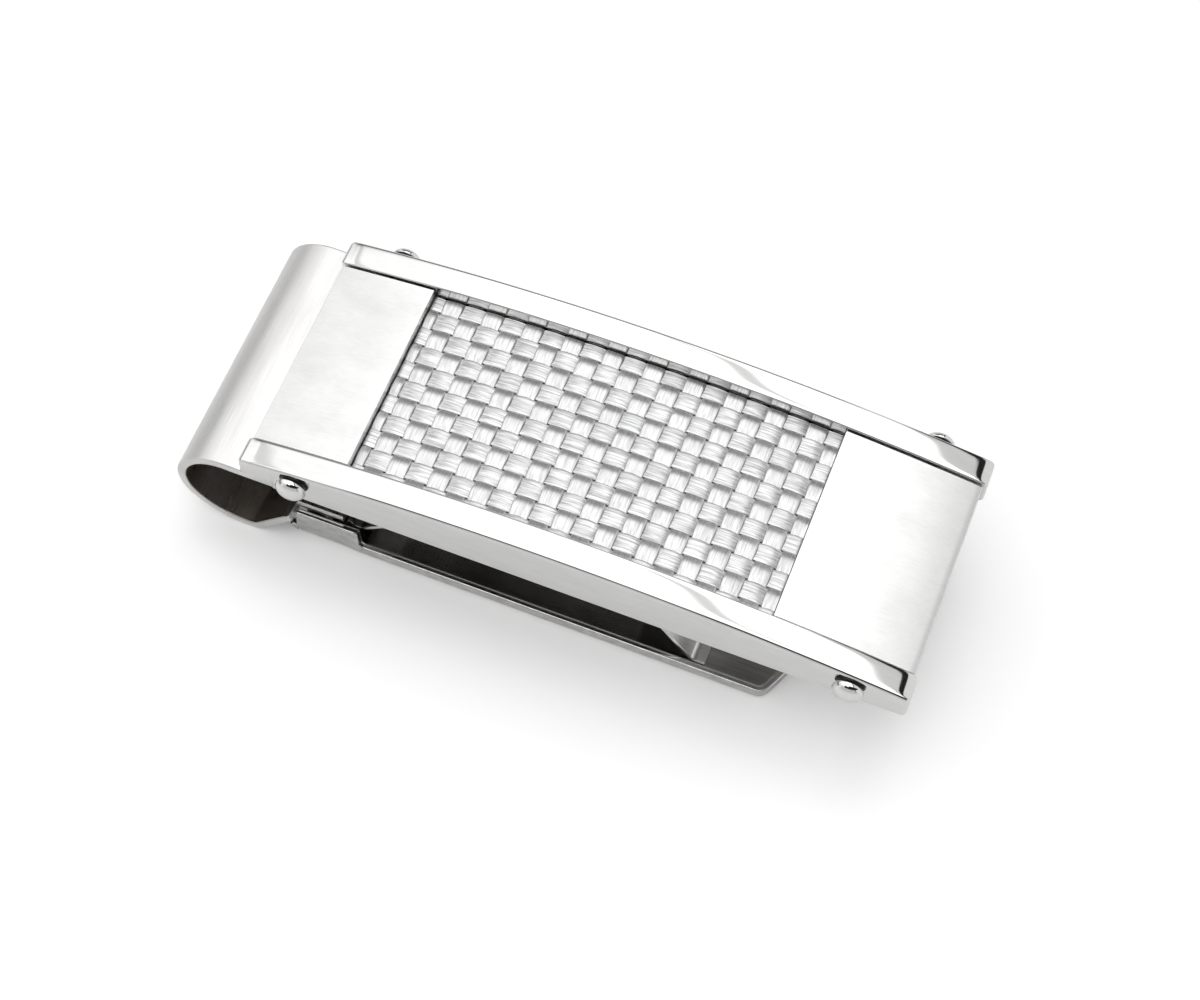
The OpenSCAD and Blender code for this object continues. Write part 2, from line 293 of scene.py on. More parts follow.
rails = {
    "outerEdge": 0.30,   # rounding of the outer top edge
    "innerEdge": 0.12,   # rounding of the inner top edge
    "lowEdge": 0.12,     # rounding of the bottom edges
    "endEdge": 0.34,     # rounding at both ends
    "crown": 0.012,      # how much the polished top falls towards its sides
    "sideRoll": 0.030,   # and how much more close to them
    "endRoll": 0.09,     # fall of the top close to its ends
    "endReach": 1.3,     # where that fall begins
    "stations": 120,     # rings along a rail
    "endSteps": 6,       # rings round each end
    "topSteps": 10,      # points across the top
    "notchLength": 2.675,
    "notchHeight": 0.78,
}


def railRing(x, inset, bottomZ, yOuter, yInner):
    # yOuter is the side with the larger rounding
    side = 1 if yOuter > yInner else -1
    middle = (yOuter + yInner) / 2
    half = abs(yOuter - yInner) / 2 - inset
    top = archTop(x) - inset
    low = bottomZ + inset
    big = max(rails["outerEdge"] - inset, 0.04)
    small = max(rails["innerEdge"] - inset, 0.03)
    foot = max(rails["lowEdge"] - inset, 0.03)
    points = cornerArc(half - big, top - big, big, 0, 90, rails["topSteps"])
    flat = 2 * half - big - small
    points += [(half - big + flat * -k / rails["topSteps"], top) for k in range(1, rails["topSteps"])]
    points += cornerArc(-half + small, top - small, small, 90, 180, 5)
    points += cornerArc(-half + foot, low + foot, foot, 180, 270, 3)
    points += cornerArc(half - foot, low + foot, foot, 270, 360, 3)
    ring = []
    ends = max(0.0, 1 - (railHalf - abs(x - railMid)) / rails["endReach"])
    for y, z in points:
        share = min(1.0, abs(y) / (abs(yOuter - yInner) / 2))
        fall = rails["crown"] * share ** 2 + rails["sideRoll"] * share ** 6 + rails["endRoll"] * ends ** 3
        ring.append((x, middle + side * y, z - (fall if z > (top + low) / 2 else 0.0)))
    return ring


def buildRail(name, node, outerIsRear):
    low, high = boxOf(node)
    r = rails["endEdge"]
    curve = []
    for k in range(rails["endSteps"] + 1):
        a = math.radians(90 / rails["endSteps"] * k)
        curve.append((r * (1 - math.cos(a)), r * (1 - math.sin(a))))
    stations = [(low.x + along, inset) for along, inset in curve]
    straight = high.x - low.x - 2 * r
    stations += [(low.x + r + straight * k / rails["stations"], 0.0) for k in range(1, rails["stations"])]
    stations += [(high.x - along, inset) for along, inset in curve]
    notchEnd = low.x + rails["notchLength"]
    stations += [(notchEnd - 0.03, 0.0), (notchEnd + 0.03, 0.0)]
    stations.sort()
    verts = []
    yOuter, yInner = (high.y, low.y) if outerIsRear else (low.y, high.y)
    for x, inset in stations:
        bottomZ = low.z + (rails["notchHeight"] if x < notchEnd else 0.0)
        verts += railRing(x, inset, bottomZ, yOuter, yInner)
    faces = ringFaces(len(stations), len(verts) // len(stations))
    return makePiece(name, verts, faces, "plate", [steel["mirrorSteel"]], node)


print("rails")
buildRail("rail_frontBar", "rail_front", False)
buildRail("rail_rearBar", "rail_rear", True)


# end panels

panels = {
    "drop": 0.3,          # how far a panel's top lies below the rails'
    "edge": 0.07,
    "stations": 24,
}


def buildPanel(name, node):
    low, high = boxOf(node)
    e = panels["edge"]
    stations = [(low.x, e), (low.x + 0.3 * e, 0.3 * e), (low.x + e, 0.0)]
    stations += [(low.x + e + (high.x - low.x - 2 * e) * k / panels["stations"], 0.0)
                 for k in range(1, panels["stations"])]
    stations += [(high.x - e, 0.0), (high.x - 0.3 * e, 0.3 * e), (high.x, e)]
    verts = []
    half = (high.y - low.y) / 2
    for x, inset in stations:
        top = archTop(x, panels["drop"]) - inset
        edge = max(e - inset, 0.02)
        ring = cornerArc(half - inset - edge, top - edge, edge, 0, 90, 3)
        ring += cornerArc(-half + inset + edge, top - edge, edge, 90, 180, 3)
        ring += [(-half + inset, low.z), (half - inset, low.z)]
        verts += [(x, y, z) for y, z in ring]
    faces = ringFaces(len(stations), len(verts) // len(stations))
    return makePiece(name, verts, faces, "plate", [steel["brushedLong"]], node)


print("panels")
buildPanel("panelLeft", "end_panel_left")
buildPanel("panelRight", "end_panel_right")


# woven inlay

weave = {
    "columns": 21,        # crosswise tows along the inlay
    "rows": 11,           # lengthwise tows across it
    "pitchX": 1.625,      # from one crosswise tow to the next
    "pitchY": 1.594,      # from one lengthwise tow to the next
    "firstRow": 0.43,     # middle of the rearmost lengthwise tow, in from the inlay's edge
    "longWidth": 1.56,
    "crossWidth": 1.5,
    "longEdge": 4.0,      # larger is flatter across, with a sharper edge
    "crossEdge": 6.0,
    "longCrest": 0.8,     # smaller is a longer, flatter float
    "crossCrest": 1.0,
    "towHeight": 0.18,
    "longWave": 0.09,     # how far a tow's middle rises and falls
    "crossWave": 0.16,
    "swell": 0.03,        # how much wider a tow is where it is on top
    "drop": 1.1,
    "ribs": 9,            # strand bundles that show on each tow
    "ribHeight": 0.012,
    "ribWander": 0.4,     # how much the ribs differ in height
    "backWidth": 0.72,    # width of a tow's flat underside, of its whole width
    "perPitch": 12,       # rings to a pitch
    "longSeed": 100,      # first seeds of the ribs' wander
    "crossSeed": 300,
}
inlayLow, inlayHigh = boxOf("weave_inlay")


def buildTow(verts, faces, path, acrossAxis, width, centre, seed, edgePower):
    # path holds (along, middle height, swell) and the tow is a ribbed lens with a flat underside
    rng = random.Random(seed)
    count = weave["ribs"] * 2 + 1
    start = len(verts)
    wander = [rng.uniform(-weave["ribWander"], weave["ribWander"]) for _ in range(count)]
    for along, height, swell in path:
        half = width / 2 * swell
        upper = []
        for k in range(count):
            t = -1 + 2 * k / (count - 1)
            lens = math.sqrt(max(0.0, 1 - abs(t) ** edgePower))
            rib = weave["ribHeight"] * (1 if k % 2 else -0.4) * (1 + wander[k])
            rib = rib if 0 < k < count - 1 else 0
            upper.append((t * half, height + weave["towHeight"] * 0.5 * lens + rib))
        back, base = weave["backWidth"] * half, height - weave["towHeight"] * 0.38
        for across, z in upper + [(back, base), (-back, base)]:
            x, y = (along, centre + across) if acrossAxis == "y" else (centre + across, along)
            x = min(max(x, inlayLow.x), inlayHigh.x)  # the sheet is cut to the inlay's outline
            y = min(max(y, inlayLow.y), inlayHigh.y)
            verts.append((x, y, z + archTop(x, weave["drop"])))
    faces += ringFaces(len(path), count + 2, start)


def towPath(low, high, first, pitch, raised, crest, wave):
    # points along a tow; first and pitch place the tows that it crosses
    steps = round((high - low) / pitch * weave["perPitch"])
    path = []
    for k in range(steps + 1):
        along = low + (high - low) * k / steps
        crossings = (along - first) / pitch
        lift = raised * math.cos(math.pi * crossings)
        lift = math.copysign(abs(lift) ** crest, lift)
        path.append((along, wave * lift, 1 + weave["swell"] * lift))
    return path


def buildWeave():
    verts, faces, slots = [], [], []
    depth = weave["towHeight"] * 0.5 + weave["crossWave"] + weave["ribHeight"] * 1.6
    rowY = inlayHigh.y - weave["firstRow"]
    for row in range(weave["rows"]):
        path = towPath(inlayLow.x, inlayHigh.x, inlayLow.x, weave["pitchX"], 1 if row % 2 == 0 else -1,
                       weave["longCrest"], weave["longWave"])
        before = len(faces)
        buildTow(verts, faces, [(a, z - depth, w) for a, z, w in path], "y", weave["longWidth"],
                 rowY - row * weave["pitchY"], weave["longSeed"] + row, weave["longEdge"])
        slots += [0] * (len(faces) - before)
    for column in range(weave["columns"]):
        path = towPath(inlayLow.y, inlayHigh.y, rowY, weave["pitchY"], 1 if column % 2 == 1 else -1,
                       weave["crossCrest"], weave["crossWave"])
        before = len(faces)
        buildTow(verts, faces, [(a, z - depth, w) for a, z, w in path], "x", weave["crossWidth"],
                 inlayLow.x + column * weave["pitchX"], weave["crossSeed"] + column, weave["crossEdge"])
        slots += [1] * (len(faces) - before)
    return makePiece("wovenInlay", verts, faces, "plate", [shadedLongTow, litCrossTow], "weave_inlay",
                     slots)


print("weave")
buildWeave()


# turned pieces: studs and hinge pin

studs = {
    "shankRadius": 0.4,
    "neckInset": 0.16,    # how far the dark neck stands in from the head's rim
    "neckHeight": 0.24,   # height of the neck above the rail's face
    "rounds": 56,         # points round every turned piece
    "domeSteps": 24,
}


def turned(name, x, z, profile, body, mats, replaced, darkRings=()):
    # profile is (y, radius) along a line parallel to Y, closed at both ends
    verts = []
    n = studs["rounds"]
    for y, radius in profile:
        for k in range(n):
            a = 2 * math.pi * k / n
            verts.append((x + radius * math.cos(a), y, z + radius * math.sin(a)))
    faces = ringFaces(len(profile), n)
    rings = {n * ring + k for ring in darkRings for k in range(n)}
    slots = [1 if all(v in rings for v in face) else 0 for face in faces]
    return makePiece(name, verts, faces, body, mats, replaced, slots)


def buildStud(node, name):
    # shank in the rail, short neck painted near black as the shadow under the head, then a low dome
    low, high = boxOf(node)
    side = 1 if high.y + low.y > 0 else -1
    x, z = (low.x + high.x) / 2, (low.z + high.z) / 2
    face = rearHigh.y if side > 0 else railLow.y
    tip, crown = (low.y, high.y) if side > 0 else (high.y, low.y)
    rim = (high.x - low.x) / 2
    shank = studs["shankRadius"]
    neck = rim - studs["neckInset"]
    shoulder = face + side * studs["neckHeight"]
    root = face - side * 0.1  # the neck starts a little inside the rail
    profile = [(tip, shank - 0.1), (tip + side * 0.08, shank - 0.03), (tip + side * 0.14, shank)]
    profile += [(root, shank), (root, neck - 0.02), (face, neck)]
    profile += [(shoulder - side * 0.01, neck), (shoulder, neck + 0.02)]
    neckRings = range(4, len(profile) + 1)
    profile += [(shoulder + side * 0.01, rim - 0.05), (shoulder + side * 0.03, rim - 0.01)]
    seat = shoulder + side * 0.07
    for k in range(studs["domeSteps"] + 1):
        a = math.pi / 2 * (1 - k / studs["domeSteps"])
        profile.append((seat + (crown - seat) * math.cos(a), max(rim * math.sin(a), 0.004)))
    mats = [steel["headSteel"], steel["neckShadow"]]
    return turned(name, x, z, profile, "plate", mats, node, neckRings)


print("studs and pin")
for node, name in (("stud_front_left", "studFrontLeft"), ("stud_front_right", "studFrontRight"),
                   ("stud_rear_left", "studRearLeft"), ("stud_rear_right", "studRearRight")):
    buildStud(node, name)

pinLow, pinHigh = boxOf("hinge_pin")
pinX, pinZ = (pinLow.x + pinHigh.x) / 2, (pinLow.z + pinHigh.z) / 2
pinRadius = (pinHigh.z - pinLow.z) / 2
pinEnd = [(0, 0.01), (0.001, 0.2), (0.004, pinRadius - 0.05), (0.02, pinRadius - 0.01), (0.05, pinRadius)]
pinProfile = [(pinLow.y + inset, radius) for inset, radius in pinEnd]
pinProfile += [(pinHigh.y - inset, radius) for inset, radius in reversed(pinEnd)]
turned("hingePin", pinX, pinZ, pinProfile, "arm", [steel["tumbledSteel"]], "hinge_pin")


# spring strip: tab, loop, heel, ramp and tongue

stripLow, stripHigh = boxOf("loop_strip")
strip = {
    "thickness": 0.75,
    "standHeight": 8.0,
    "loopRatio": 1.67,    # the loop's lower radius over its upper one
    "loopTurn": 225,      # where the one gives way to the other, in degrees
    "heelRadius": 0.9,
    "kneeRadius": 0.5,
    "rampAngle": 48,
    "tongueHeight": 3.95,
    "tongueLength": 3.5,
    "notchX": 2.67,       # where the tab narrows, in from the rails' ends
    "notchCorner": 0.25,  # rounding of the tab's inner corners
    "tabHalf": 8.18,      # half width of the tab between the rails
    "tongueHalf": 8.9,    # half width of the tongue between the ears
    "outerEdge": 0.16,
    "innerEdge": 0.08,
    "lugRadius": 0.85,
    "lugThickness": 0.65,
    "lugSteps": 24,
    "lugEdge": 0.08,
}
stripHalf = (stripHigh.y - stripLow.y) / 2


def stripPath():
    # course of the strip's outer face from the tab's end to the tongue's: (x, z, thickness direction)
    t = strip["thickness"]
    height = strip["standHeight"]
    turn = math.radians(strip["loopTurn"])
    turnSin = -math.sin(turn)
    upper = (height - t) / (1 + turnSin + strip["loopRatio"] * (1 - turnSin))
    lower = strip["loopRatio"] * upper
    cx, cz = stripLow.x + t + upper, height - upper
    lx, lz = cx - (lower - upper) * math.cos(turn), cz - (lower - upper) * math.sin(turn)
    heel, knee, ramp = strip["heelRadius"], strip["kneeRadius"], math.radians(strip["rampAngle"])
    bendDrop = (heel + knee + t) * (1 - math.cos(ramp))
    rampLength = (strip["tongueHeight"] - t - bendDrop) / math.sin(ramp)
    tongueX = lx + (heel + knee + t) * math.sin(ramp) + rampLength * math.cos(ramp)
    cornerX = railLow.x + strip["notchX"] + strip["notchCorner"]
    path = [(x, height, 0, 1) for x in (stripHigh.x, cornerX)]
    path += [(cornerX - 0.05 * k, height, 0, 1) for k in range(1, 6)]
    path += [(railLow.x + 1, height, 0, 1), (railLow.x, height, 0, 1)]
    marks = {"loop": len(path)}
    path += arcPoints(cx, cz, upper, 90, strip["loopTurn"], 64)
    path += arcPoints(lx, lz, lower, strip["loopTurn"], 270, 28)[1:]
    path += arcPoints(lx, t + heel, heel, 270, 270 + strip["rampAngle"], 12)[1:]
    marks["knee"] = len(path)
    marks["shoulder"] = tongueX - 0.4
    marks["tongueX"] = tongueX
    top = strip["tongueHeight"]
    path += arcPoints(tongueX, top - t - knee, knee + t, 90 + strip["rampAngle"], 90, 16)
    path += [(tongueX + k, top, 0, 1) for k in (0.8, 1.6, 2.4)]
    path += [(tongueX + strip["tongueLength"] - k, top, 0, 1) for k in (0.12, 0.04, 0.0)]
    return path, marks


def sheetRing(point, half, thickness, near, far, flip):
    # ring round a flat strip: near is the rounding on the course's side, far on the other side
    x, z, nx, nz = point
    profile = [(half - far, thickness)] + cornerArc(half - far, thickness - far, far, 90, 0, 4)[1:]
    profile += cornerArc(half - near, near, near, 0, -90, 3)
    mirrored = [(-y, s) for y, s in reversed(profile)]
    return [(x + flip * nx * s, y, z + flip * nz * s) for y, s in profile + mirrored]


def stripHalfAt(x, onTab, onTongue, shoulder):
    # half width: full along the loop, narrower on the tab and the tongue, with rounded corners
    notchX = railLow.x + strip["notchX"]
    if onTab and x > notchX:
        step = (x - notchX) / strip["notchCorner"]
        if step >= 1:
            return strip["tabHalf"]
        return stripHalf - (stripHalf - strip["tabHalf"]) * (1 - math.sqrt(1 - step * step))
    if onTongue and x > shoulder:
        step = min(1.0, (x - shoulder) / 0.2)
        return strip["tongueHalf"] + (stripHalf - strip["tongueHalf"]) * (1 - step) ** 2
    return stripHalf


def lugRings(side):
    # a folded lug that holds the pin, under one edge of the tongue
    r, steps, edge = strip["lugRadius"], strip["lugSteps"], side * strip["lugEdge"]
    outline = []
    for k in range(steps + 1):
        a = math.radians(180 + 180 * k / steps)
        outline.append((pinX + r * math.cos(a), pinZ + r * math.sin(a)))
    top = strip["tongueHeight"] - strip["thickness"] / 2
    outline += [(pinX + r, top), (pinX - r, top)]
    middle = (pinZ + top) / 2
    outer = side * strip["tongueHalf"]
    inner = side * (strip["tongueHalf"] - strip["lugThickness"])
    verts = []
    for y, shrink in ((outer, 0.9), (outer - edge, 1.0), (inner + edge, 1.0), (inner, 0.9)):
        verts += [(pinX + (x - pinX) * shrink, y, middle + (z - middle) * shrink) for x, z in outline]
    return verts


def buildStrip():
    path, marks = stripPath()
    verts = []
    for i, point in enumerate(path):
        afterLoop = i >= marks["knee"]
        half = stripHalfAt(point[0], i < marks["loop"], afterLoop, marks["shoulder"])
        flip = -1 if afterLoop else 1
        verts += sheetRing(point, half, strip["thickness"], strip["innerEdge"], strip["outerEdge"], flip)
    size = len(verts) // len(path)
    faces = ringFaces(len(path), size)
    quarter = size // 2
    slots = []
    for i in range(len(path) - 1):
        for j in range(size):
            # the loop's inner face gets a darker, brownish tint: painted shade for the dark inside of the
            # loop
            onInside = quarter - 3 <= j <= quarter + 2 and marks["loop"] <= i <= marks["knee"] + 8
            slots.append(1 if onInside else 0)
    slots += [0, 0]
    for side in (-1, 1):
        lug = lugRings(side)
        lugFaces = ringFaces(4, len(lug) // 4, len(verts))
        verts += lug
        faces += lugFaces
        slots += [0] * len(lugFaces)
    mats = [steel["brushedAcross"], steel["shadedInside"]]
    return makePiece("springStrip", verts, faces, "plate", mats, "loop_strip", slots)


print("spring strip")
buildStrip()


# folding arm: a shallow tray with ears

armLow, armHigh = boxOf("clip_arm")
arm = {
    "sheet": 0.5,
    "rimHeight": 1.3,
    "tipRadius": 20.0,
    "cornerRadius": 1.1,
    "earHeight": 3.2,
    "earBack": 1.5,       # the ears' back edge, behind the pin
    "earFront": 3.6,
    "earSide": 8.9,       # the ears stand outside this
    "footBack": 2.078,    # the round foot's end, behind the pin
    "floorBack": 1.4,     # the tray's floor starts here, behind the pin
    "footRadius": 2.1,
    "footHeight": 1.25,
    "bottomEdge": 0.52,   # rounding of the outer bottom edge
    "earBend": 0.85,      # and of the ears' own, which runs out over earEase
    "earEase": 1.5,
    "rimEdge": 0.12,
    "fillet": 0.22,       # inside, between floor and rim
    "lip": 0.95,          # how much floor goes with the rim's rings
    "footLip": 0.52,
}


def armPath():
    # half of the plan, from the back of one ear to the middle of the tip: (x, y, outward normal)
    half = armHigh.y
    tipC = armHigh.x - arm["tipRadius"]
    c = arm["cornerRadius"]
    cornerX = tipC + math.sqrt((arm["tipRadius"] - c) ** 2 - (half - c) ** 2)
    marks = {"back": pinX - arm["footBack"], "ear0": pinX - arm["earBack"], "ear1": pinX + arm["earFront"],
             "floor": pinX - arm["floorBack"]}
    xs = [marks["back"] + k for k in (0, 0.03, 0.1, 0.2, 0.35, 0.48)]
    xs += [marks["ear0"] + k for k in (-0.03, 0.01, 0.05)]
    xs += [marks["floor"] + k for k in (0.02, 0.2)]
    xs += [marks["floor"] + 0.5 + 0.5 * k for k in range(9)]
    xs += [marks["ear1"] + k for k in (-0.12, -0.04, 0, 0.04, 0.15, 0.4)]
    straight = cornerX - marks["ear1"] - 0.4
    xs += [marks["ear1"] + 0.4 + straight * k / 24 for k in range(1, 25)]
    path = [(x, -half, 0.0, -1.0) for x in sorted(xs)]
    meet = math.degrees(math.atan2(-(half - c), cornerX - tipC))
    path += arcPoints(cornerX, -(half - c), c, -90, meet, 12)[1:]
    path += arcPoints(tipC, 0, arm["tipRadius"], meet, 0, 16)[1:]
    return path, marks


def armHeights(x, y, marks):
    # top and underside of the wall at x
    beside = y < -arm["earSide"]
    if x < marks["ear0"] - 0.001:
        edge = min(1.0, (x - marks["back"]) / 0.2)
        top = arm["footHeight"] - 0.3 * (1 - edge) ** 2
    elif x < marks["ear1"] + 0.02 and beside:
        top = arm["earHeight"]
        if x < marks["ear0"] + 0.03:
            top -= 0.08
        if x > marks["ear1"] - 0.05:
            top = arm["earHeight"] - (0.12 if x < marks["ear1"] - 0.01 else 0.5)
    else:
        gap = x - marks["ear1"]
        top = arm["rimHeight"] + (0.5 * math.exp(-gap / 0.06) if gap < 0.6 and beside else 0.0)
    low = 0.0
    if x < marks["floor"] + 0.25:
        # the foot rolls round the pin, then runs out into the flat underside
        reachBack = min(pinX - x, arm["footRadius"] - 0.0005)
        low = max(0.0, pinZ - math.sqrt(arm["footRadius"] ** 2 - reachBack ** 2))
        if x > pinX - 1.65:
            low = 0.25 * max(0.0, (marks["floor"] + 0.2 - x) / 0.45) if x < pinX - 1.2 else 0.0
        low = min(low, 1.2)
    return top, low


def armRing(x, y, nx, ny, top, low, inFoot):
    # from the floor's inside, up and over the rim, down the outside and under
    t = arm["sheet"]
    inEar = min(1.0, max(0.0, (pinX + arm["earFront"] - x) / arm["earEase"]))
    bend = arm["bottomEdge"] + (arm["earBend"] - arm["bottomEdge"]) * inEar
    bottom = min(bend, max(0.06, (top - low) * 0.4))
    lip = arm["footLip"] if inFoot else arm["lip"]
    tray = min(low + t, top - 0.05)
    fillet = 0.01 if inFoot else min(arm["fillet"], max(0.01, (top - tray) * 0.4))
    edge = min(arm["rimEdge"], (top - low) * 0.3)
    points = [(lip, tray)]
    points += cornerArc(t + fillet, tray + fillet, fillet, -90, -180, 3)
    points += cornerArc(t - edge, top - edge, edge, 0, 90, 3)
    points += cornerArc(edge, top - edge, edge, 90, 180, 3)
    points += cornerArc(bottom, low + bottom, bottom, 180, 270, 6)
    points += [(max(lip, bottom), low)]
    return [(x - d * nx, y - d * ny, z) for d, z in points]


def buildArm():
    path, marks = armPath()
    rings = []
    for x, y, nx, ny in path:
        top, low = armHeights(x, y, marks)
        rings.append(armRing(x, y, nx, ny, top, low, x < marks["floor"]))
    half, size = len(rings), len(rings[0])
    rings += [[(x, -y, z) for x, y, z in ring] for ring in reversed(rings[:-1])]
    total = len(rings)
    verts = [point for ring in rings for point in ring]
    faces, slots = [], []
    for i in range(total - 1):
        for j in range(size - 1):
            a = i * size + j
            faces.append((a, a + 1, a + 1 + size, a + size))
            # the tray's inside, up to the fillet, takes the darker finish that paints its shade
            slots.append(1 if j < 5 else 0)
    firstFloor = next(i for i, point in enumerate(path) if point[0] >= marks["floor"])
    for i in range(firstFloor):
        for a in (i * size, (total - 2 - i) * size):
            faces.append((a, a + size, a + 2 * size - 1, a + size - 1))
            slots.append(0)
    for tail in (0, (total - 1) * size):
        faces.append(tuple(range(tail, tail + size)))
        slots.append(0)
    # floor and underside, from one wall to the other
    for i in range(firstFloor, half - 1):
        left, leftNext = i * size, (i + 1) * size
        right, rightNext = (total - 1 - i) * size, (total - 2 - i) * size
        for shift, slotIndex in ((0, 1), (size - 1, 0)):
            corners = [left + shift, leftNext + shift, rightNext + shift, right + shift]
            if leftNext == rightNext:
                corners.pop(2)
            faces.append(tuple(corners))
            slots.append(slotIndex)
    back, backRight = firstFloor * size, (total - 1 - firstFloor) * size
    faces.append((back, back + size - 1, backRight + size - 1, backRight))
    slots.append(0)
    mats = [steel["tumbledSteel"], steel["shadedTrayFloor"]]
    return makePiece("foldingArm", verts, faces, "arm", mats, "clip_arm", slots)


print("folding arm")
buildArm()


# bow spring

leafLow, leafHigh = boxOf("leaf_spring")
leaf = {
    "thickness": 0.3,
    "lowHeight": 2.4,     # height of the lip's lowest line
    "bend": 0.6,          # inside radius of the small bends
    "rise": 37,           # degrees up from the lip to the bow
    "riseLength": 2.4,
    "fall": 54,           # degrees down from the bow to the toe
    "toeLength": 0.7,
    "lipAngle": 190,
    "edge": 0.05,
    "pressed": 0.66,      # height left when it is pressed flat
}


def leafPath():
    # course of the bow's underside, from the lip to the toe
    t, b = leaf["thickness"], leaf["bend"]
    rise, fall = math.radians(leaf["rise"]), math.radians(leaf["fall"])
    startX = stripPath()[1]["tongueX"] + strip["tongueLength"] + 0.15 + b + t
    endX = startX + b * math.sin(rise) + leaf["riseLength"] * math.cos(rise)
    endZ = leaf["lowHeight"] + b * (1 - math.cos(rise)) + leaf["riseLength"] * math.sin(rise)
    bow = (leafHigh.z - t - endZ) / (1 - math.cos(rise)) - b
    bowX = endX + bow * math.sin(rise)
    foot = leafLow.z
    fallLength = (leafHigh.z - foot - (2 * b + 2 * t) * (1 - math.cos(fall))) / math.sin(fall)
    browX = leafHigh.x - leaf["toeLength"] - (2 * b + t) * math.sin(fall) - fallLength * math.cos(fall)
    path = arcPoints(startX, leaf["lowHeight"] + b + t, b + t, leaf["lipAngle"], 270 + leaf["rise"], 18, -1)
    path += arcPoints(bowX, leafHigh.z - t - bow, bow, 90 + leaf["rise"], 90, 40)
    path += arcPoints(browX, leafHigh.z - t - b, b, 90, 90 - leaf["fall"], 12)
    path += arcPoints(leafHigh.x - leaf["toeLength"], foot + b + t, b + t, 270 - leaf["fall"], 270, 12, -1)
    path += [(leafHigh.x - 0.03, foot, 0, 1), (leafHigh.x, foot, 0, 1)]
    return path


def buildLeaf():
    half = (leafHigh.y - leafLow.y) / 2
    e = leaf["edge"]
    verts = []
    path = leafPath()
    for point in path:
        verts += sheetRing(point, half, leaf["thickness"], e, e, 1)
    faces = ringFaces(len(path), len(verts) // len(path))
    mats = [steel["springSteel"]]
    piece = makePiece("bowSpring", verts, faces, "arm", mats, "leaf_spring")
    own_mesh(piece)


print("bow spring")
buildLeaf()


# finishes for the CAD pieces that stay

def refinish(node, mat):
    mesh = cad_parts[node].data
    mesh.materials.clear()
    mesh.materials.append(mat)


print("hidden plate and board")
refinish("base_plate", steel["brushedLong"])
refinish("inlay_carrier", carrierBoard)


# floor

floorLook = {
    "size": 3.0,          # in metres
    "colour": (0.92, 0.92, 0.92),
    "rough": 0.22,
    "specular": 0.35,
    "lift": 0.17,         # how much paler the camera sees it
}


def buildFloor():
    half = floorLook["size"] / 2
    mesh = bpy.data.meshes.new("tableTop")
    corners = [(-half, -half, 0), (half, -half, 0), (half, half, 0), (-half, half, 0)]
    mesh.from_pydata(corners, [], [(0, 1, 2, 3)])
    mat, tree, shader = newMaterial("whiteTable")
    shader.inputs["Base Color"].default_value = (*floorLook["colour"], 1)
    shader.inputs["Roughness"].default_value = floorLook["rough"]
    shader.inputs["Specular IOR Level"].default_value = floorLook["specular"]
    ray = tree.nodes.new("ShaderNodeLightPath")
    lift = tree.nodes.new("ShaderNodeMath")
    lift.operation = "MULTIPLY"
    lift.inputs[1].default_value = floorLook["lift"]
    tree.links.new(ray.outputs["Is Camera Ray"], lift.inputs[0])
    shader.inputs["Emission Color"].default_value = (1, 1, 1, 1)
    tree.links.new(lift.outputs[0], shader.inputs["Emission Strength"])
    mesh.materials.append(mat)
    table = bpy.data.objects.new("tableTop", mesh)
    bpy.context.scene.collection.objects.link(table)


print("floor")
buildFloor()


# studio: bright box overhead, grey room, dark side

studio = {
    # brightnesses
    "box": 1.8,           # the overhead box
    "left": 1.42,         # its loop end
    "room": 0.62,         # the room round it
    "frame": 0.95,        # the box's frame
    "dark": 0.02,
    "grey": 0.80,         # the strip before the dark one
    "side": 0.9,          # low on the free end's side
    "leftLow": 1.0,       # low on the loop's side, above the table's edge
    "leftDark": 0.28,     # the dark band beyond the loop
    "farLow": 0.12,       # low behind the part
    # directions, as parts of a unit vector: where one level starts to turn into the next, and has done
    "boxRise": (0.42, 0.62),
    "boxLeft": (0.22, 0.45),
    "leftReach": (0.55, 0.75),
    "leftDarkReach": (0.76, 0.90),
    "leftDarkFall": (-0.35, -0.20),
    "farFall": (-0.74, -0.55),
    "farRise": (0.10, 0.30),
    "farDepth": (0.35, 0.60),
    "farReach": (-0.70, -0.50),
    "greyEdge": (0.0, 0.012),
    "darkEdge": (0.055, 0.075),
    "sideEdge": (0.14, 0.18),
    "frontEdge": (0.0, 0.03),
    "frontRight": (-0.05, 0.03),
    "frontLeft": (-0.42, -0.36),
    "frontFall": (-0.77, -0.71),
    "frontRise": (0.36, 0.44),
    "frameLine": (0.008, 0.022),
}


class Sums:
    # small helper that writes sums as world nodes
    def __init__(self, tree):
        self.tree = tree

    def op(self, kind, *values):
        node = self.tree.nodes.new("ShaderNodeMath")
        node.operation = kind
        for slot, value in enumerate(values):
            if isinstance(value, (int, float)):
                node.inputs[slot].default_value = value
            else:
                self.tree.links.new(value, node.inputs[slot])
        return node.outputs[0]

    def step(self, value, limits):
        # 0 below the first of studio's limits, 1 above the second
        node = self.tree.nodes.new("ShaderNodeMapRange")
        node.interpolation_type = "SMOOTHSTEP"
        node.inputs["From Min"].default_value, node.inputs["From Max"].default_value = studio[limits]
        self.tree.links.new(value, node.inputs["Value"])
        return node.outputs["Result"]

    def both(self, *factors):
        result = factors[0]
        for factor in factors[1:]:
            result = self.op("MULTIPLY", result, factor)
        return result

    def mix(self, factor, a, b):
        # a where factor is 0, b where it is 1; a name is one of studio's brightnesses
        a, b = (studio[v] if isinstance(v, str) else v for v in (a, b))
        return self.op("ADD", self.op("MULTIPLY", self.op("SUBTRACT", 1.0, factor), a),
                       self.op("MULTIPLY", factor, b))


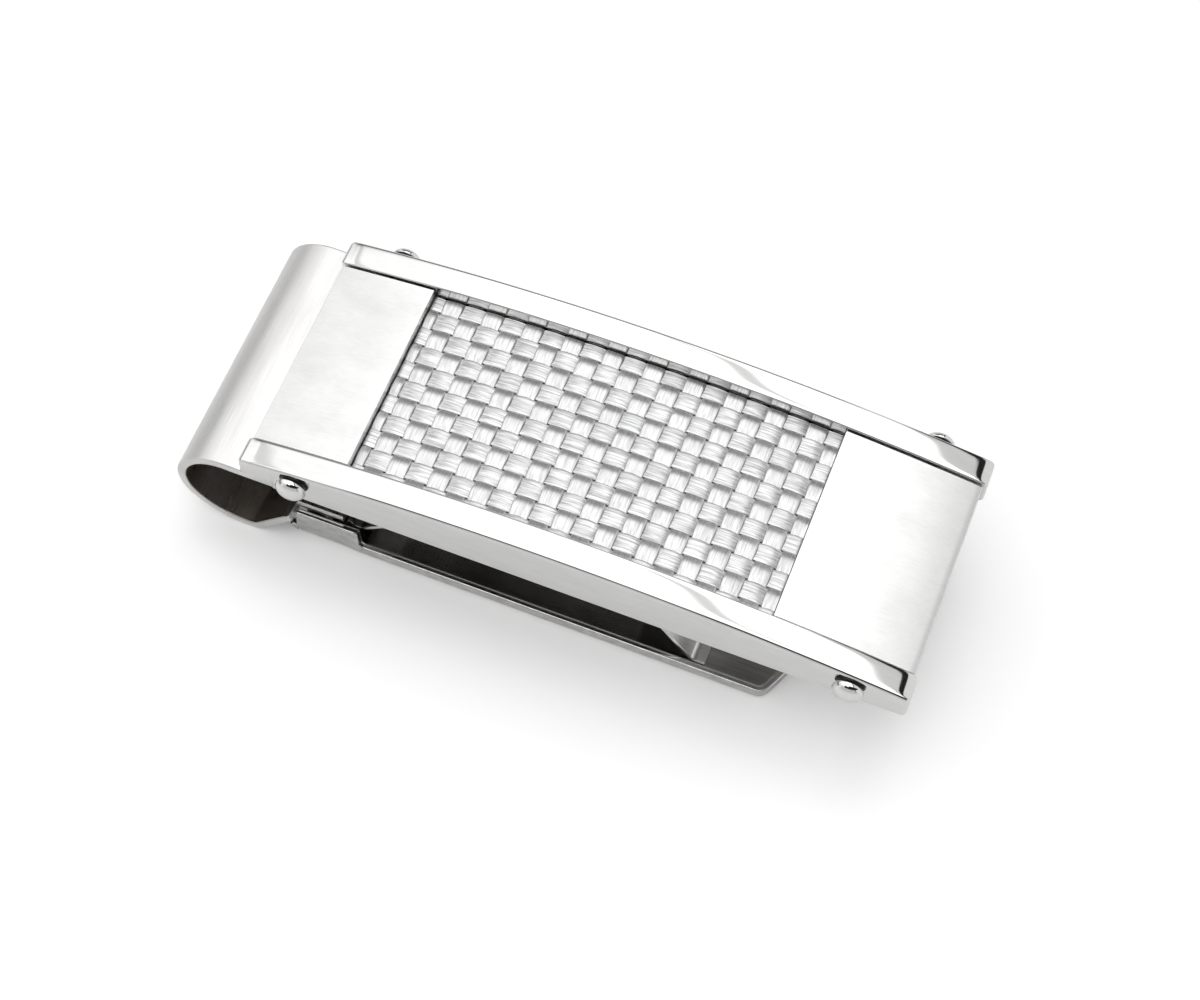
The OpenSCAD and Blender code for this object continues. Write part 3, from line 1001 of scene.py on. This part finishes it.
def buildStudio():
    world = bpy.data.worlds.new("studioTent")
    bpy.context.scene.world = world
    world.use_nodes = True
    tree = world.node_tree
    background = tree.nodes["Background"]
    coords = tree.nodes.new("ShaderNodeTexCoord")
    axes = tree.nodes.new("ShaderNodeSeparateXYZ")
    tree.links.new(coords.outputs["Generated"], axes.inputs[0])
    dx, dy, dz = axes.outputs
    sums = Sums(tree)
    left = sums.op("MULTIPLY", dx, -1.0)
    down = sums.op("MULTIPLY", dz, -1.0)
    # the box's frame: right side slants, left side is straight, far side is level
    rightSide = sums.op("ADD", dx, sums.op("MULTIPLY_ADD", dy, 0.74, -0.335))
    leftSide = sums.op("SUBTRACT", -0.51, dx)
    farSide = sums.op("SUBTRACT", dy, 0.66)
    outside = sums.op("MAXIMUM", sums.op("MAXIMUM", rightSide, leftSide), farSide)
    frameLine = sums.op("SUBTRACT", 1.0, sums.step(sums.op("ABSOLUTE", outside), "frameLine"))
    # the room, the box over it, and the dark band beyond the loop
    boxLevel = sums.mix(sums.step(left, "boxLeft"), "box", "left")
    beside = sums.mix(sums.step(left, "leftReach"), "room", "leftLow")
    level = sums.mix(sums.step(dz, "boxRise"), beside, boxLevel)
    leftDim = sums.both(sums.step(left, "leftDarkReach"), sums.step(down, "leftDarkFall"))
    level = sums.mix(leftDim, level, "leftDark")
    level = sums.mix(frameLine, level, "frame")
    # the far side falls off towards the table
    farLow = sums.both(sums.step(down, "farFall"), sums.step(dy, "farDepth"), sums.step(dx, "farReach"),
                       sums.step(dz, "farRise"))
    level = sums.mix(farLow, level, "farLow")
    # grey, then dark, on the free end's side
    rightEdge = sums.op("ADD", dx, sums.op("MULTIPLY_ADD", dy, 0.37, -0.37))
    for limits, name in (("greyEdge", "grey"), ("darkEdge", "dark"), ("sideEdge", "side")):
        level = sums.mix(sums.step(rightEdge, limits), level, name)
    # dark in front, between the box's edge and the low white
    under = sums.op("SUBTRACT", sums.op("MULTIPLY_ADD", dy, -0.837, sums.op("MULTIPLY", dx, 0.268)),
                    sums.op("MULTIPLY", dz, 0.477))
    frontLeft = sums.both(sums.step(dx, "frontLeft"), sums.step(down, "frontFall"))
    sideways = sums.op("MAXIMUM", sums.step(dx, "frontRight"), frontLeft)
    front = sums.both(sums.step(under, "frontEdge"), sideways, sums.step(dz, "frontRise"))
    level = sums.mix(front, level, "dark")
    tree.links.new(level, background.inputs["Strength"])
    background.inputs["Color"].default_value = (1, 1, 1, 1)


print("studio")
buildStudio()


# camera

view = {
    "lens": 78.59,
    "place": (30.555, -90.46, 178.94),
    "turn": 17.776,       # degrees round the vertical, from straight in front
    "rise": 61.551,       # degrees above the table
    "roll": 3.809,
}


def buildCamera():
    data = bpy.data.cameras.new("frontView")
    data.lens = view["lens"]
    data.sensor_width = 36
    data.clip_start = 0.01
    data.clip_end = 20
    camera = bpy.data.objects.new("frontView", data)
    bpy.context.scene.collection.objects.link(camera)
    turn, rise, roll = (math.radians(view[k]) for k in ("turn", "rise", "roll"))
    back = Vector((math.sin(turn) * math.cos(rise), -math.cos(turn) * math.cos(rise), math.sin(rise)))
    right = Vector((0, 0, 1)).cross(back).normalized()
    up = back.cross(right)
    axisX = math.cos(roll) * right + math.sin(roll) * up
    axisY = -math.sin(roll) * right + math.cos(roll) * up
    rotation = Matrix((axisX, axisY, back)).transposed()
    camera.matrix_world = Matrix.Translation(Vector(view["place"]) * mm) @ rotation.to_4x4()
    bpy.context.scene.camera = camera


print("camera")
buildCamera()
bpy.context.scene.view_settings.view_transform = "Standard"
